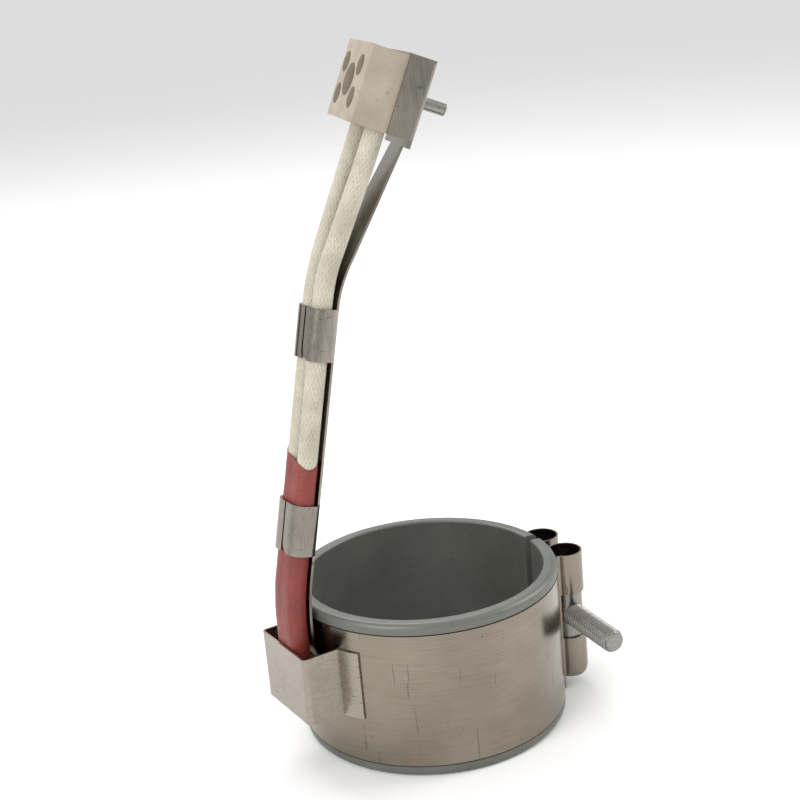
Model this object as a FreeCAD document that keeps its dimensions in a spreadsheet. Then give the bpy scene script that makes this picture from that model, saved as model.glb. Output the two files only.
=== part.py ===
"""Mica band heater with a screw clamp, a folded terminal cover and two leads on a bracket arm.

Frame: the ring axis is Z, its lower rim stands on Z = 0, and the split and the clamp are at +X.
The terminal side has a frame of its own, the arm frame: the ring's frame turned about Z by
arm_bearing, with the terminal cover at -X. The terminal block has the tray frame: its origin is
the bottom middle of the tray's back face, +X points out of the back and +Z along the wires.
All sizes are millimetres and degrees.
"""
import FreeCAD, Part
import math
import os
import re
import Sketcher

doc = FreeCAD.newDocument("band_heater")
Vector = FreeCAD.Vector

# Driving sizes: each can be set by itself.
SIZES = {
    # ring
    "bore_radius": 30.0,
    "heater_height": 40.0,
    "split_gap": 2.8,
    "sheath_thickness": 0.4,
    "mica_thickness": 0.6,
    "core_thickness": 0.6,
    "layer_gap": 0.03,
    "rim_radius": 1.5,
    "bore_edge_radius": 0.55,
    "lip_height": 2.6,
    "seat_corner": 0.2,
    "end_gap": 0.3,
    "mica_margin": 1.8,
    "core_margin": 4.5,
    # winding
    "ribbon_thickness": 0.15,
    "ribbon_width": 1.6,
    "ribbon_turns": 40,
    "return_width": 1.5,
    "return_margin": 0.5,
    "winding_break": 8.0,
    # clamp band and its loops
    "band_thickness": 0.45,
    "band_clearance": 0.3,
    "loop_inner_radius": 4.15,
    "turn_back_radius": 1.2,
    "flap_angle": 9.0,
    "window_margin": 0.2,
    "window_height": 12.4,
    "window_corner_radius": 2.0,
    "loop_corner_radius": 5.0,
    # clamp screw and barrels
    "barrel_clearance": 0.15,
    "barrel_height": 20.0,
    "barrel_flat": 0.4,
    "screw_radius": 3.0,
    "screw_clearance": 0.05,
    "pin_clearance": 0.2,
    "screw_length": 40.0,
    "screw_head_radius": 5.0,
    "screw_head_height": 6.0,
    "screw_tip_chamfer": 0.5,
    "socket_flats": 5.0,
    "socket_depth": 3.0,
    "washer_radius": 4.95,
    "washer_thickness": 1.6,
    "washer_slit": 0.8,
    "notch_depth": 6.8,
    "notch_margin": 0.45,
    # terminal cover
    "arm_bearing": 6.6,
    "cover_distance": 41.6,
    "cover_width": 22.0,
    "cover_bottom": 14.5,
    "cover_height": 17.4,
    "cover_thickness": 0.5,
    "cover_corner": 1.2,
    "ear_angle": 10.6,
    "opening_width": 12.0,
    "opening_bottom": 15.5,
    "opening_height": 7.0,
    # leads and sleeve
    "lead_radius": 2.4,
    "lead_pitch": 4.9,
    "conductor_radius": 0.8,
    "lead_bottom": 24.0,
    "lead_fan_height": 119.5,
    "lead_fan_radius": 38.0,
    "lead_run_out": 7.0,
    "lead_exit_radius": 27.0,
    "sleeve_wall": 0.25,
    "sleeve_clearance": 0.05,
    "sleeve_bottom": 26.5,
    "sleeve_top": 82.0,
    "sleeve_cut_height": 77.8,
    "sleeve_cut_angle": 24.0,
    # connection inside the cover
    "tab_width": 1.4,
    "tab_bottom": 17.0,
    "tab_top": 21.0,
    "crimp_bottom": 18.0,
    "crimp_length": 4.5,
    "crimp_wall": 0.4,
    "crimp_bore": 1.35,
    "conductor_bottom": 18.4,
    "tab_clearance": 0.15,
    # bracket arm
    "strip_width": 9.0,
    "strip_thickness": 0.6,
    "strip_stand": 34.9,
    "foot_clearance": 0.02,
    "foot_bottom": 23.2,
    "foot_top": 28.0,
    "joggle_top": 31.5,
    "joggle_radius": 1.5,
    "low_bend_height": 42.4,
    "low_bend_radius": 60.0,
    "lean": 12.85,
    "high_bend_height": 117.25,
    "high_bend_radius": 30.0,
    "twist_margin": 1.0,
    "clip_low": 60.3,
    "clip_high": 105.8,
    "clip_height": 12.3,
    "clip_clearance": 0.1,
    "clip_corner": 1.2,
    "clip_trim": 3.0,
    "clip_flare": 12.0,
    "clip_seam": 0.6,
    # terminal tray
    "tray_x": 3.2,
    "tray_z": 146.1,
    "tray_tilt": 23.6,
    "tray_twist": -15.5,
    "tray_sill": 1.8,
    "tray_flange": 6.7,
    "tray_clearance": 0.05,
    "tray_corner": 1.0,
    "tray_relief": 1.2,
    "lip_depth": 6.7,
    # terminal block
    "block_width": 20.7,
    "block_height": 18.0,
    "block_depth": 15.4,
    "block_corner": 1.0,
    "pole_spacing": 12.6,
    "screw_spacing": 7.5,
    "insert_depth": 7.7,
    "insert_radius": 2.8,
    "insert_length": 14.0,
    "insert_bore": 1.6,
    "insert_clearance": 0.05,
    "access_radius": 2.5,
    "centre_radius": 3.9,
    "centre_depth": 4.2,
    "lead_entry": 1.5,
    "conductor_entry": 6.0,
    # small fasteners
    "small_screw_radius": 1.5,
    "small_clearance": 0.1,
    "terminal_head_radius": 2.2,
    "terminal_head_height": 1.4,
    "terminal_head_lift": 0.2,
    "open_screw_lift": 0.75,
    "thread_clearance": 0.03,
    "block_screw_length": 20.0,
    "block_head_radius": 2.75,
    "block_head_height": 2.0,
    "slot_width": 0.8,
    "slot_depth": 0.7,
    "nut_flats": 5.5,
    "nut_height": 2.4,
}

# Sizes that follow from the driving ones.
DERIVED = {
    "mica_inner_radius": "bore_radius + sheath_thickness + layer_gap",
    "ribbon_inner_radius": "mica_inner_radius + mica_thickness + layer_gap",
    "core_radius": "ribbon_inner_radius + ribbon_thickness + layer_gap",
    "ribbon_outer_radius": "core_radius + core_thickness + layer_gap",
    "return_bottom": "heater_height - mica_margin - return_margin - return_width",
    "mica_outer_radius": "ribbon_outer_radius + ribbon_thickness + layer_gap",
    "outer_sheath_radius": "mica_outer_radius + mica_thickness + layer_gap",
    "band_inner_radius": "outer_sheath_radius + sheath_thickness + layer_gap",
    "band_outer_radius": "band_inner_radius + band_thickness",
    "rim_outer_radius": "band_inner_radius + sheath_thickness",
    "band_bottom": "lip_height + band_clearance",
    "band_height": "heater_height - 2 * band_bottom",
    "ring_half_gap": "asin(split_gap / 2 / bore_radius) / 1deg",
    "end_wall_angle": "asin(sheath_thickness / bore_radius) / 1deg",
    "layer_half_gap": "ring_half_gap + end_wall_angle + asin(end_gap / bore_radius) / 1deg",
    "loop_outer_radius": "loop_inner_radius + band_thickness",
    "loop_distance": "band_inner_radius + loop_outer_radius",
    "loop_y": "split_gap / 2 + loop_outer_radius",
    "loop_x": "sqrt(loop_distance ^ 2 - loop_y ^ 2)",
    "loop_bearing": "asin(loop_y / loop_distance) / 1deg",
    "loop_mid_radius": "loop_inner_radius + band_thickness / 2",
    "turn_distance": "band_outer_radius + band_thickness / 2 + turn_back_radius",
    "turn_reach": "loop_mid_radius + turn_back_radius",
    "turn_bearing": "acos((loop_distance ^ 2 + turn_distance ^ 2 - turn_reach ^ 2)"
                    " / (2 * loop_distance * turn_distance)) / 1deg",
    "turn_angle": "acos((loop_distance ^ 2 + turn_reach ^ 2 - turn_distance ^ 2)"
                  " / (2 * loop_distance * turn_reach)) / 1deg",
    "mid_height": "heater_height / 2",
    "barrel_radius": "loop_inner_radius - barrel_clearance",
    "barrel_bottom": "heater_height / 2 - barrel_height / 2",
    "window_bottom": "heater_height / 2 - window_height / 2",
    "window_x": "band_inner_radius - window_margin",
    "loop_edge": "loop_x + loop_outer_radius",
    "head_seat": "loop_y + barrel_radius - barrel_flat",
    "head_bottom": "head_seat + washer_thickness",
    "tip_y": "head_bottom - screw_length",
    "cover_side_angle": "asin((cover_width / 2 - cover_thickness) / band_outer_radius) / 1deg",
    "cover_top": "cover_bottom + cover_height",
    "lead_offset": "strip_thickness + 2 * sleeve_clearance + sleeve_wall + lead_radius",
    "lead_x": "0 - strip_stand - lead_offset",
    "sleeve_radius": "lead_radius + sleeve_clearance + sleeve_wall",
    "lead_rise": "low_bend_height + lead_offset * tan(lean / 2)",
    "crimp_distance": "sqrt(lead_x ^ 2 + (lead_pitch / 2) ^ 2)",
    "crimp_bearing": "asin(lead_pitch / 2 / crimp_distance) / 1deg",
    "tab_offset": "conductor_radius + tab_clearance",
    "clip_front": "0 - lead_offset",
    "clip_radius": "sleeve_radius + clip_clearance",
    "clip_reach": "lead_pitch / 2 + clip_radius",
    "block_face": "0 - strip_thickness - block_depth",
    "insert_x": "block_face + insert_depth",
    "block_middle": "tray_sill + block_height / 2",
    "block_top": "tray_sill + block_height",
    "tray_inner_half": "block_width / 2 + tray_clearance",
    "tray_half": "tray_inner_half + strip_thickness",
    "terminal_head_x": "insert_x - insert_radius - terminal_head_lift",
}

NODES = []
FRAMES = {
    "ring": "",
    "arm": "placement(vector(0;0;0);rotation(vector(0;0;1);arm_bearing))*",
    "tray": "placement(vector(0;0;0);rotation(vector(0;0;1);arm_bearing))*"
            "placement(vector(tray_x;0;tray_z);rotation(tray_twist;tray_tilt;0))*",
}
AXES = {"z": "rotation(0;0;0)", "x": "rotation(0;90;0)", "y": "rotation(0;0;-90)"}


def fill_sheet(name, rows):
    """A spreadsheet with one alias a row, and its value beside the name."""
    sheet = doc.addObject("Spreadsheet::Sheet", name)
    for row, (alias, content) in enumerate(rows.items(), start=1):
        sheet.set(f"A{row}", alias)
        sheet.set(f"B{row}", content)
        sheet.setAlias(f"B{row}", alias)
    doc.recompute()
    return sheet


def linked(formula, own=()):
    """The formula with each size's name pointing at its sheet."""
    def point(match):
        word = match.group()
        if word in SIZES:
            return f"Sizes.{word}"
        if word in DERIVED and word not in own:
            return f"Derived.{word}"
        return word
    return re.sub(r"[a-z_]+", point, formula)


sizes = fill_sheet("Sizes", {alias: str(number) for alias, number in SIZES.items()})
derived = fill_sheet("Derived", {alias: "=" + linked(formula, DERIVED)
                                 for alias, formula in DERIVED.items()})


def size(alias):
    """The number that a sheet holds for a size."""
    return float((sizes if alias in SIZES else derived).get(alias))


def bind(item, prop, formula):
    item.setExpression(prop, linked(str(formula)))


def place(item, x="0", y="0", z="0", turn="rotation(0;0;0)", frame="ring"):
    """Bind a placement: a frame, then a point in it, then a turn."""
    bind(item, "Placement", f"{FRAMES[frame]}placement(vector({x};{y};{z});{turn})")


def into(item, frame):
    """Move a finished item into a frame."""
    place(item, frame=frame)
    return item


def node(item, name):
    """Name a finished item as one of the heater's pieces."""
    item.Label = name
    NODES.append(item)
    return item


def box(name, x_range, y_range, z_range, frame="ring"):
    item = doc.addObject("Part::Box", name)
    for prop, (low, high) in zip(("Length", "Width", "Height"), (x_range, y_range, z_range)):
        bind(item, prop, f"({high}) - ({low})")
    place(item, x_range[0], y_range[0], z_range[0], frame=frame)
    return item


def cylinder(name, radius, height, x="0", y="0", z="0", axis="z", start=None, sweep=None, frame="ring"):
    item = doc.addObject("Part::Cylinder", name)
    bind(item, "Radius", radius)
    bind(item, "Height", height)
    if sweep is not None:
        bind(item, "Angle", sweep)
    turn = AXES[axis] if start is None else f"rotation({start};0;0)"
    place(item, x, y, z, turn, frame)
    return item


def cut(name, base, *tools):
    for count, tool in enumerate(tools):
        item = doc.addObject("Part::Cut", f"{name}_cut{count}")
        item.Base = base
        item.Tool = tool
        base = item
    return base


def fuse(name, *parts):
    item = doc.addObject("Part::MultiFuse", name)
    item.Shapes = list(parts)
    item.Refine = True
    return item


def tube(name, inner, wall, height, x="0", y="0", z="0", start="0", sweep="360", frame="ring"):
    """A piece of a sheet rolled about a vertical axis."""
    outer = cylinder(f"{name}_outside", f"{inner} + {wall}", height, x, y, z,
                     start=start, sweep=sweep, frame=frame)
    inside = cylinder(f"{name}_inside", inner, height, x, y, z, frame=frame)
    return cut(name, outer, inside)


def common(name, base, tool):
    item = doc.addObject("Part::Common", name)
    item.Base = base
    item.Tool = tool
    return item


def rounded_box(name, x_range, y_range, z_range, corner, frame="ring"):
    """A box whose four vertical edges are round."""
    (x0, x1), (y0, y1), (low, high) = x_range, y_range, z_range
    inner_x = (f"{x0} + ({corner})", f"{x1} - ({corner})")
    inner_y = (f"{y0} + ({corner})", f"{y1} - ({corner})")
    parts = [box(f"{name}_long", x_range, inner_y, z_range, frame),
             box(f"{name}_wide", inner_x, y_range, z_range, frame)]
    for count, (x, y) in enumerate((x, y) for x in inner_x for y in inner_y):
        parts.append(cylinder(f"{name}_corner{count}", corner, f"({high}) - ({low})", x, y, low,
                              frame=frame))
    return fuse(name, *parts)


def prism(name, flats, height, x="0", y="0", z="0", axis="z", frame="ring"):
    """A hexagonal bar by its width across flats."""
    item = doc.addObject("Part::Prism", name)
    item.Polygon = 6
    bind(item, "Circumradius", f"{flats} / sqrt(3)")
    bind(item, "Height", height)
    place(item, x, y, z, AXES[axis], frame)
    return item


def shape_feature(name, shape):
    item = doc.addObject("Part::Feature", name)
    item.Shape = shape
    return item


def body(name):
    return doc.addObject("PartDesign::Body", name)


def sketch_on(owner, name, role, offset=None):
    """A sketch on one of the body's own origin planes."""
    plane = next(item for item in owner.Origin.OriginFeatures if item.Role == role)
    sketch = owner.newObject("Sketcher::SketchObject", name)
    sketch.AttachmentSupport = [(plane, "")]
    sketch.MapMode = "FlatFace"
    if offset is not None:
        bind(sketch, "AttachmentOffset", f"placement(vector(0;0;{offset});rotation(0;0;0))")
    return sketch


def dimension(sketch, kind, *args):
    """Add a dimension: its last argument is the formula that drives it."""
    *where, start, formula = args
    number = sketch.addConstraint(Sketcher.Constraint(kind, *where, start))
    bind(sketch, f"Constraints[{number}]", formula)


def draw_section(sketch, x_low, x_high, y_low, y_high, corner, other_corner):
    """A rectangle with four round corners, each side and radius driven by a size's formula.

    Each argument is a pair: the formula and the number that the drawing starts from. The first
    radius is for the two corners at x_low and the second for the two at x_high.
    """
    x0, x1, y0, y1, r, q = (pair[1] for pair in (x_low, x_high, y_low, y_high, corner, other_corner))
    sides = [((x0 + r, y0), (x1 - q, y0)), ((x1, y0 + q), (x1, y1 - q)),
             ((x1 - q, y1), (x0 + r, y1)), ((x0, y1 - r), (x0, y0 + r))]
    centres = [(x1 - q, y0 + q, q), (x1 - q, y1 - q, q), (x0 + r, y1 - r, r), (x0 + r, y0 + r, r)]
    lines = []
    arcs = []
    for count, (first, last) in enumerate(sides):
        x, y, radius = centres[count]
        lines.append(sketch.addGeometry(Part.LineSegment(Vector(*first, 0), Vector(*last, 0))))
        circle = Part.Circle(Vector(x, y, 0), Vector(0, 0, 1), radius)
        begin = math.radians(90 * (count - 1))
        arcs.append(sketch.addGeometry(Part.ArcOfCircle(circle, begin, begin + math.radians(90))))
    for count in range(4):
        sketch.addConstraint(Sketcher.Constraint("Tangent", lines[count], 2, arcs[count], 1))
        sketch.addConstraint(Sketcher.Constraint("Tangent", arcs[count], 2, lines[(count + 1) % 4], 1))
    sketch.addConstraint(Sketcher.Constraint("Horizontal", lines[0]))
    sketch.addConstraint(Sketcher.Constraint("Vertical", lines[1]))
    for first, second, start, formula in ((0, 1, q, other_corner[0]), (3, 2, r, corner[0])):
        sketch.addConstraint(Sketcher.Constraint("Equal", arcs[first], arcs[second]))
        dimension(sketch, "Radius", arcs[first], start, formula)
    dimension(sketch, "DistanceX", -1, 1, lines[3], 1, x0, x_low[0])
    dimension(sketch, "DistanceX", -1, 1, lines[1], 1, x1, x_high[0])
    dimension(sketch, "DistanceY", -1, 1, lines[0], 1, y0, y_low[0])
    dimension(sketch, "DistanceY", -1, 1, lines[2], 1, y1, y_high[0])


def mirror_y(name, item):
    """The same piece on the other side of the XZ plane."""
    other = doc.addObject("Part::Mirroring", name)
    other.Source = item
    other.Normal = Vector(0, 1, 0)
    return other


# --- heating ring -------------------------------------------------------------------------------

def add_inner_sheath():
    """The grey inner sheet: bore wall, rolled rims with their lips, and closed ends at the split."""
    sheath = body("inner_sheath_body")
    ring_angle = "360 - 2 * ring_half_gap"

    def turned(kind, name, section, angle):
        sketch = sketch_on(sheath, f"{name}_sketch", "XZ_Plane")
        draw_section(sketch, *section)
        feature = sheath.newObject(kind, name)
        feature.Profile = sketch
        feature.ReferenceAxis = (sketch, ["V_Axis"])
        feature.Midplane = True
        bind(feature, "Angle", angle)
        sketch.Visibility = False
        return feature

    outer, bore, height = size("rim_outer_radius"), size("bore_radius"), size("heater_height")
    wall, rim, edge = size("sheath_thickness"), size("rim_radius"), size("bore_edge_radius")
    turned("PartDesign::Revolution", "sheath_ring", (
        ("-rim_outer_radius", -outer), ("-bore_radius", -bore),
        ("0", 0.0), ("heater_height", height), ("rim_radius", rim),
        ("bore_edge_radius", edge)), ring_angle)
    turned("PartDesign::Groove", "sheath_hollow", (
        ("sheath_thickness - rim_outer_radius", wall - outer),
        ("-bore_radius - sheath_thickness", -bore - wall),
        ("sheath_thickness", wall), ("heater_height - sheath_thickness", height - wall),
        ("rim_radius - sheath_thickness", rim - wall),
        ("bore_edge_radius - sheath_thickness", edge - wall)), f"{ring_angle} - 2 * end_wall_angle")
    lip, seat = size("lip_height"), size("band_inner_radius") - size("layer_gap")
    turned("PartDesign::Groove", "sheath_seat", (
        ("-rim_outer_radius - 1", -outer - 1), ("layer_gap - band_inner_radius", -seat),
        ("lip_height", lip), ("heater_height - lip_height", height - lip),
        ("seat_corner", size("seat_corner")), ("seat_corner", size("seat_corner"))), ring_angle)
    node(sheath, "inner_sheath")


def layer(name, inner, wall, margin):
    """One of the rolled sheets inside the ring, open at the split."""
    return tube(name, inner, wall, f"heater_height - 2 * {margin}", z=margin,
                start="layer_half_gap", sweep="360 - 2 * layer_half_gap")


def add_ring_layers():
    """The sheets between the two sheaths; the outer ones have a window for the terminal tabs."""
    window = box("tab_window", ("-cover_distance", "-bore_radius"),
                 ("-opening_width / 2", "opening_width / 2"),
                 ("opening_bottom", "opening_bottom + opening_height"), "arm")
    node(layer("mica_inner", "mica_inner_radius", "mica_thickness", "mica_margin"), "mica_inner_sheet")
    node(layer("core", "core_radius", "core_thickness", "core_margin"), "element_core")
    mica = layer("mica_outer", "mica_outer_radius", "mica_thickness", "mica_margin")
    node(cut("mica_outer_open", mica, window), "mica_outer_sheet")
    sheath = layer("sheath_outer", "outer_sheath_radius", "sheath_thickness", "mica_margin")
    node(cut("sheath_outer_open", sheath, window), "outer_sheath")
    return window


def ring_piece(inner, outer, low, height, begin, end):
    """A curved bar between two radii, two heights and two bearings."""
    axis = Vector(0, 0, 1)
    piece = Part.makeCylinder(outer, height, Vector(0, 0, low), axis, end - begin)
    piece = piece.cut(Part.makeCylinder(inner, height, Vector(0, 0, low), axis))
    piece.rotate(Vector(0, 0, 0), axis, begin)
    return piece


def add_ribbon():
    """The flat resistance ribbon: wound round the core, and led back over it to the terminals."""
    wall, gap = size("ribbon_thickness"), size("layer_gap")
    inner, outer = size("ribbon_inner_radius"), size("ribbon_outer_radius")
    low, high = size("core_margin") - gap - wall, size("heater_height") - size("core_margin") + gap
    half = math.degrees(size("ribbon_width") / 2 / inner)
    first = size("layer_half_gap") + 2 * half
    level, level_height = size("return_bottom"), size("return_width")
    turns = int(size("ribbon_turns")) // 2
    pieces = []
    ends = []
    for side in (1, -1):
        bearing = 180 + side * size("arm_bearing")
        last = bearing - size("winding_break")
        step = (last - first) / (turns - 0.5)

        def bar(r_low, r_high, z, height, begin, end):
            if side < 0:
                begin, end = -end, -begin
            pieces.append(ring_piece(r_low, r_high, z, height, begin, end))

        for turn in range(turns):
            front = first + turn * step
            back = front + step / 2
            bar(outer, outer + wall, low, high - low + wall, front - half, front + half)
            bar(inner, inner + wall, low, high - low + wall, back - half, back + half)
            bar(inner, outer + wall, high, wall, front - half, back + half)
            if turn + 1 < turns:
                bar(inner, outer + wall, low, wall, back - half, front + step + half)
        bar(outer, outer + wall, high, level + level_height - high, first - half, first + half)
        bar(outer, outer + wall, level, level_height, first - half,
            bearing - size("crimp_bearing") + half)
        ends.append(side * last)
    pieces.append(ring_piece(inner, inner + wall, low, size("ribbon_width"), ends[0] - half,
                             360 + ends[1] + half))
    ribbon = pieces[0].multiFuse(pieces[1:]).removeSplitter()
    node(shape_feature("ribbon", ribbon), "resistance_ribbon")


# --- clamp band, barrels and screw --------------------------------------------------------------

def low_corner(name, edge, level, radius):
    """What a rounded lower corner of the loops leaves out: it faces +X."""
    block = box(f"{name}_block", (f"{edge} - {radius}", edge), ("-loop_y - loop_outer_radius",
                "loop_y + loop_outer_radius"), (level, f"{level} + {radius}"))
    drum = cylinder(f"{name}_drum", radius, "2 * (loop_y + loop_outer_radius)", f"{edge} - {radius}",
                    "-loop_y - loop_outer_radius", f"{level} + {radius}", "y")
    return cut(name, block, drum)


def add_clamp_band(tab_window):
    """One sheet: round the ring, rolled into a loop at each end, turned back and laid on itself."""
    wall, low, height = "band_thickness", "band_bottom", "band_height"
    ring = tube("band_ring", "band_inner_radius", wall, height, z=low,
                start="loop_bearing", sweep="360 - 2 * loop_bearing")
    loop = tube("band_loop", "loop_inner_radius", wall, height, "loop_x", "loop_y", low,
                "180 + loop_bearing", "360 - turn_angle")
    turn = tube("band_turn", "turn_back_radius - band_thickness / 2", wall, height,
                "turn_distance * cos(loop_bearing + turn_bearing)",
                "turn_distance * sin(loop_bearing + turn_bearing)", low,
                "180 + loop_bearing + turn_bearing", "180 - turn_angle - turn_bearing")
    flap = tube("band_flap", "band_outer_radius", wall, height, z=low,
                start="loop_bearing + turn_bearing", sweep="flap_angle")
    far_end = fuse("band_far_end", loop, turn, flap)
    sheet = fuse("band_sheet", ring, far_end, mirror_y("band_near_end", far_end))
    slot = box("band_slot", ("window_x", "loop_edge + 1"), ("-2 * loop_y", "2 * loop_y"),
               ("window_bottom", "window_bottom + window_height"))
    notch = box("band_notch", ("loop_x - notch_depth", "loop_x"), ("loop_y", "head_bottom + 1"),
                ("mid_height - washer_radius - notch_margin", "mid_height + washer_radius + notch_margin"))
    band = cut("band", sheet, slot, notch, tab_window,
               low_corner("slot_corner", "loop_edge", "window_bottom + window_height",
                          "window_corner_radius"),
               low_corner("loop_corner", "loop_edge", "band_bottom", "loop_corner_radius"))
    node(band, "clamp_band")


def add_clamp():
    """The two barrels in the loops, the screw that draws them together and its lock washer."""
    rod = cylinder("nut_rod", "barrel_radius", "barrel_height", "loop_x", "-loop_y", "barrel_bottom")
    bore = cylinder("nut_bore", "screw_radius + screw_clearance", "4 * barrel_radius", "loop_x",
                    "-loop_y - 2 * barrel_radius", "mid_height", "y")
    node(cut("nut", rod, bore), "barrel_nut")
    rod = cylinder("pin_rod", "barrel_radius", "barrel_height", "loop_x", "loop_y", "barrel_bottom")
    bore = cylinder("pin_bore", "screw_radius + pin_clearance", "4 * barrel_radius", "loop_x",
                    "loop_y - 2 * barrel_radius", "mid_height", "y")
    flat = box("pin_flat", ("loop_x - barrel_radius", "loop_x + barrel_radius"),
               ("head_seat", "head_bottom"),
               ("mid_height - washer_radius - notch_margin", "mid_height + washer_radius + notch_margin"))
    node(cut("pin", rod, bore, flat), "barrel_pin")

    disc = cylinder("washer_disc", "washer_radius", "washer_thickness", "loop_x", "head_seat",
                    "mid_height", "y")
    hole = cylinder("washer_hole", "screw_radius + pin_clearance", "washer_thickness", "loop_x",
                    "head_seat", "mid_height", "y")
    slit = box("washer_slit_gap", ("loop_x - washer_slit / 2", "loop_x + washer_slit / 2"),
               ("head_seat", "head_bottom"), ("mid_height", "mid_height + washer_radius"))
    node(cut("washer", disc, hole, slit), "lock_washer")

    shank = cylinder("screw_shank", "screw_radius", "screw_length - screw_tip_chamfer", "loop_x",
                     "tip_y + screw_tip_chamfer", "mid_height", "y")
    tip = doc.addObject("Part::Cone", "screw_tip")
    bind(tip, "Radius1", "screw_radius - screw_tip_chamfer")
    bind(tip, "Radius2", "screw_radius")
    bind(tip, "Height", "screw_tip_chamfer")
    place(tip, "loop_x", "tip_y", "mid_height", AXES["y"])
    head = cylinder("screw_head", "screw_head_radius", "screw_head_height", "loop_x", "head_bottom",
                    "mid_height", "y")
    socket = prism("screw_socket", "socket_flats", "socket_depth", "loop_x",
                   "head_bottom + screw_head_height - socket_depth", "mid_height", "y")
    node(cut("screw", fuse("screw_whole", shank, tip, head), socket), "clamp_screw")


# --- terminal cover and what it covers ----------------------------------------------------------

def add_terminal_cover():
    """A folded sheet box open at its top and bottom, with two ears laid on the band."""
    tall = ("cover_bottom", "cover_bottom + cover_height")
    shell = rounded_box("cover_outside", ("-cover_distance", "-bore_radius"),
                        ("-cover_width / 2", "cover_width / 2"), tall, "cover_corner", "arm")
    hollow = rounded_box("cover_inside", ("cover_thickness - cover_distance", "-bore_radius / 2"),
                         ("cover_thickness - cover_width / 2", "cover_width / 2 - cover_thickness"),
                         tall, "cover_corner - cover_thickness", "arm")
    drum = cylinder("cover_seat", "band_outer_radius + foot_clearance", "cover_height", "0", "0",
                    "cover_bottom", frame="arm")
    ears = [tube(f"cover_ear{count}", "band_outer_radius + foot_clearance", "cover_thickness",
                 "cover_height", z="cover_bottom", start=start, sweep="ear_angle", frame="arm")
            for count, start in enumerate(("180 + cover_side_angle", "180 - cover_side_angle - ear_angle"))]
    node(fuse("cover", cut("cover_box", shell, hollow, drum), *ears), "terminal_cover")


def add_element_ends():
    """Each end of the element: a tab out of the ring up into its crimp barrel, and the barrel."""
    for name, side in (("far", "1"), ("near", "-1")):
        turn = f"placement(vector(0;0;0);rotation(vector(0;0;1);{side} * -crimp_bearing))*"
        FRAMES[f"tab_{name}"] = FRAMES["arm"] + turn
        frame = f"tab_{name}"
        edges = ("-tab_width / 2", "tab_width / 2")
        inner = "-ribbon_outer_radius - ribbon_thickness"
        outer = "tab_offset + ribbon_thickness - crimp_distance"
        riser = box(f"tab_{name}_riser", (inner, "-ribbon_outer_radius"), edges,
                    ("tab_bottom", "return_bottom"), frame)
        floor = box(f"tab_{name}_floor", (f"{outer} - ribbon_thickness", "-ribbon_outer_radius"), edges,
                    ("tab_bottom", "tab_bottom + ribbon_thickness"), frame)
        end = box(f"tab_{name}_end", (f"{outer} - ribbon_thickness", outer), edges,
                  ("tab_bottom", "tab_top"), frame)
        node(fuse(f"tab_{name}", riser, floor, end), f"element_terminal_{name}")
        barrel = tube(f"crimp_{name}_barrel", "crimp_bore", "crimp_wall", "crimp_length",
                      "lead_x", f"{side} * lead_pitch / 2", "crimp_bottom", frame="arm")
        node(barrel, f"crimp_{name}")


# --- bracket arm with its clips and tray --------------------------------------------------------

def rounded_route(points, radii):
    """A wire of straight runs joined by tangent arcs, one radius for each inner point."""
    edges = []
    start = points[0]
    for count, radius in enumerate(radii, start=1):
        corner = points[count]
        inward = (corner - points[count - 1]).normalize()
        outward = (points[count + 1] - corner).normalize()
        half_turn = inward.getAngle(outward) / 2
        reach = radius * math.tan(half_turn)
        first, last = corner - inward * reach, corner + outward * reach
        to_centre = (outward - inward).normalize()
        middle = corner + to_centre * (radius / math.cos(half_turn) - radius)
        edges.append(Part.LineSegment(start, first).toShape())
        edges.append(Part.Arc(first, middle, last).toShape())
        start = last
    edges.append(Part.LineSegment(start, points[-1]).toShape())
    return Part.Wire(edges)


def sweep_section(route, section):
    """The solid that a closed section makes along a route."""
    return route.makePipeShell([section], True, False)


def placed(frame):
    """A frame's placement as numbers, for shapes that are made in one go."""
    bearing = FreeCAD.Placement(Vector(), FreeCAD.Rotation(Vector(0, 0, 1), size("arm_bearing")))
    tray = FreeCAD.Placement(Vector(size("tray_x"), 0, size("tray_z")),
                             FreeCAD.Rotation(size("tray_twist"), size("tray_tilt"), 0))
    return {"arm": bearing, "tray": bearing.multiply(tray)}[frame]


def arm_point(x, y, z):
    return placed("arm").multVec(Vector(x, y, z))


def lean_point(height):
    """The strip's back line at a height of the leaning run, in the arm frame."""
    run = (height - size("low_bend_height")) * math.tan(math.radians(size("lean")))
    return Vector(run - size("strip_stand"), 0, height)


def strip_section(place_at):
    """The strip's section, with its back face through the placement's origin."""
    half, wall = size("strip_width") / 2, size("strip_thickness")
    corners = [Vector(0, -half, 0), Vector(0, half, 0), Vector(-wall, half, 0), Vector(-wall, -half, 0)]
    corners = [place_at.multVec(point) for point in corners]
    return Part.makePolygon(corners + corners[:1])


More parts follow.
